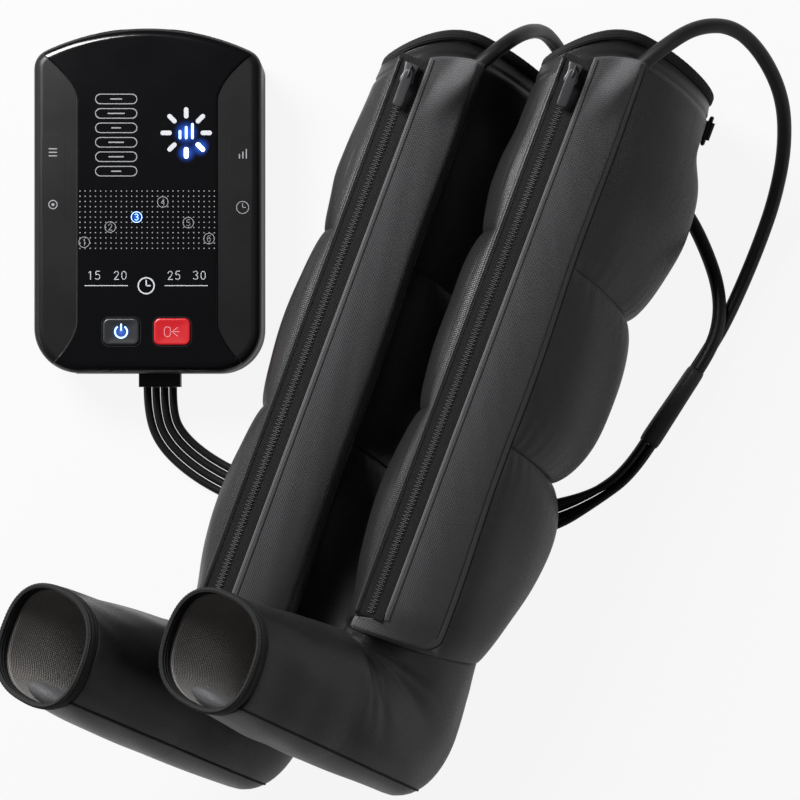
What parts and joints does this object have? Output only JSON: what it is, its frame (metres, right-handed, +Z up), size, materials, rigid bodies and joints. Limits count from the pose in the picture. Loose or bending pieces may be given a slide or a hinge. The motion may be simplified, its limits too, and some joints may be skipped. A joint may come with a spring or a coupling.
{
  "type": "compression therapy pump",
  "caption": "Control unit with glossy panel, touch strips and push buttons, air tubes, and padded air-chamber leg boots with zips.",
  "frame": {"origin": "centre of the bottom of the object without its hoses, on the table", "axes": "+Z up from the table; +Y from the soles to the cuffs of the boots; +X from the control unit to the right boot"},
  "size_m": [0.5515, 0.6274, 0.269],
  "materials": {
    "casing_grey": "fine satin texture",
    "panel_black": "piano black, printed legends",
    "key_black": "glossy strip with printed icons",
    "bezel_grey": "satin",
    "button_grey": "satin, lit power icon",
    "button_red": "gloss red, release icon",
    "board_green": "circuit board",
    "switch_black": "moulded",
    "pump_steel": "drawn can",
    "pump_head": "moulded",
    "soft_rubber": "soft rubber",
    "manifold_white": "moulded",
    "valve_dark": "encapsulated coil",
    "port_black": "moulded",
    "battery_wrap": "heat-shrink wrap",
    "screw_steel": "zinc plated",
    "body_fabric": "black coated nylon, fine twill",
    "flap_fabric": "charcoal nylon, fine twill",
    "sole_foam": "foam insole with fabric cover",
    "binding_web": "ribbed elastic binding",
    "zip_tape_black": "woven tape",
    "coil_black": "nylon coil",
    "slider_black": "black lacquer",
    "ring_black": "moulded",
    "tube_black": "soft air tube"
  },
  "bodies": {
    "base": {"pump_back_shell": "casing_grey", "pump_front_shell": "casing_grey", "display_panel": "panel_black", "left_touch_keys": "key_black", "right_touch_keys": "key_black", "button_bezels": "bezel_grey", "display_board": "board_green", "button_switches": "switch_black", "main_board": "board_green", "air_pump_motor": "pump_steel", "air_pump_head": "pump_head", "motor_mounts": "soft_rubber", "valve_manifold": "manifold_white", "solenoid_valves": "valve_dark", "outlet_port": "port_black", "tube_plug": "port_black", "charging_socket": "port_black", "battery_pack": "battery_wrap", "casing_screws": "screw_steel", "rubber_feet": "soft_rubber", "right_lower_chamber": "body_fabric", "right_middle_chamber": "body_fabric", "right_upper_chamber": "body_fabric", "right_foot_shell": "body_fabric", "right_insole": "sole_foam", "right_toe_binding": "binding_web", "right_cuff_binding": "binding_web", "right_d_ring_tab": "binding_web", "right_hose_gland": "port_black", "right_zip_tape": "zip_tape_black", "right_zip_coil": "coil_black", "right_flap": "flap_fabric", "left_lower_chamber": "body_fabric", "left_middle_chamber": "body_fabric", "left_upper_chamber": "body_fabric", "left_foot_shell": "body_fabric", "left_insole": "sole_foam", "left_toe_binding": "binding_web", "left_cuff_binding": "binding_web", "left_d_ring_tab": "binding_web", "left_hose_gland": "port_black", "left_zip_tape": "zip_tape_black", "left_zip_coil": "coil_black", "left_flap": "flap_fabric", "supply_tube_1": "tube_black", "supply_tube_2": "tube_black", "supply_tube_3": "tube_black", "supply_tube_4": "tube_black", "hose_sleeve": "tube_black", "right_boot_hose": "tube_black", "left_boot_hose": "tube_black"},
    "left_d_ring": {"left_d_ring": "ring_black"},
    "left_zip_pull": {"left_zip_pull": "slider_black"},
    "left_zip_slider": {"left_zip_slider": "slider_black"},
    "power_button": {"power_button": "button_grey"},
    "release_button": {"release_button": "button_red"},
    "right_d_ring": {"right_d_ring": "ring_black"},
    "right_zip_pull": {"right_zip_pull": "slider_black"},
    "right_zip_slider": {"right_zip_slider": "slider_black"}
  },
  "joints": [
    {"name": "power_press", "type": "slide", "parent": "base", "child": "power_button", "axis": [0, 0, -1], "range_m": [0, 0.0012], "stiffness_N_per_m": 600},
    {"name": "release_press", "type": "slide", "parent": "base", "child": "release_button", "axis": [0, 0, -1], "range_m": [0, 0.0012], "stiffness_N_per_m": 600},
    {"name": "right_zip_slide", "type": "slide", "parent": "base", "child": "right_zip_slider", "axis": [0, -0.9987, -0.0503], "range_m": [0, 0.38]},
    {"name": "right_pull_hinge", "type": "hinge", "parent": "right_zip_slider", "child": "right_zip_pull", "pos_m": [0.12367, 0.25248, 0.18946], "axis": [-1, 0, 0], "range_deg": [0, 150]},
    {"name": "right_ring_hinge", "type": "hinge", "parent": "base", "child": "right_d_ring", "pos_m": [0.2332, 0.26885, 0.0577], "axis": [0, -1, 0], "range_deg": [-5, 120]},
    {"name": "left_zip_slide", "type": "slide", "parent": "base", "child": "left_zip_slider", "axis": [0, -0.9987, -0.0503], "range_m": [0, 0.38]},
    {"name": "left_pull_hinge", "type": "hinge", "parent": "left_zip_slider", "child": "left_zip_pull", "pos_m": [0.01967, 0.21548, 0.17746], "axis": [-1, 0, 0], "range_deg": [0, 150]},
    {"name": "left_ring_hinge", "type": "hinge", "parent": "base", "child": "left_d_ring", "pos_m": [0.1292, 0.23185, 0.0457], "axis": [0, -1, 0], "range_deg": [-5, 120]}
  ]
}
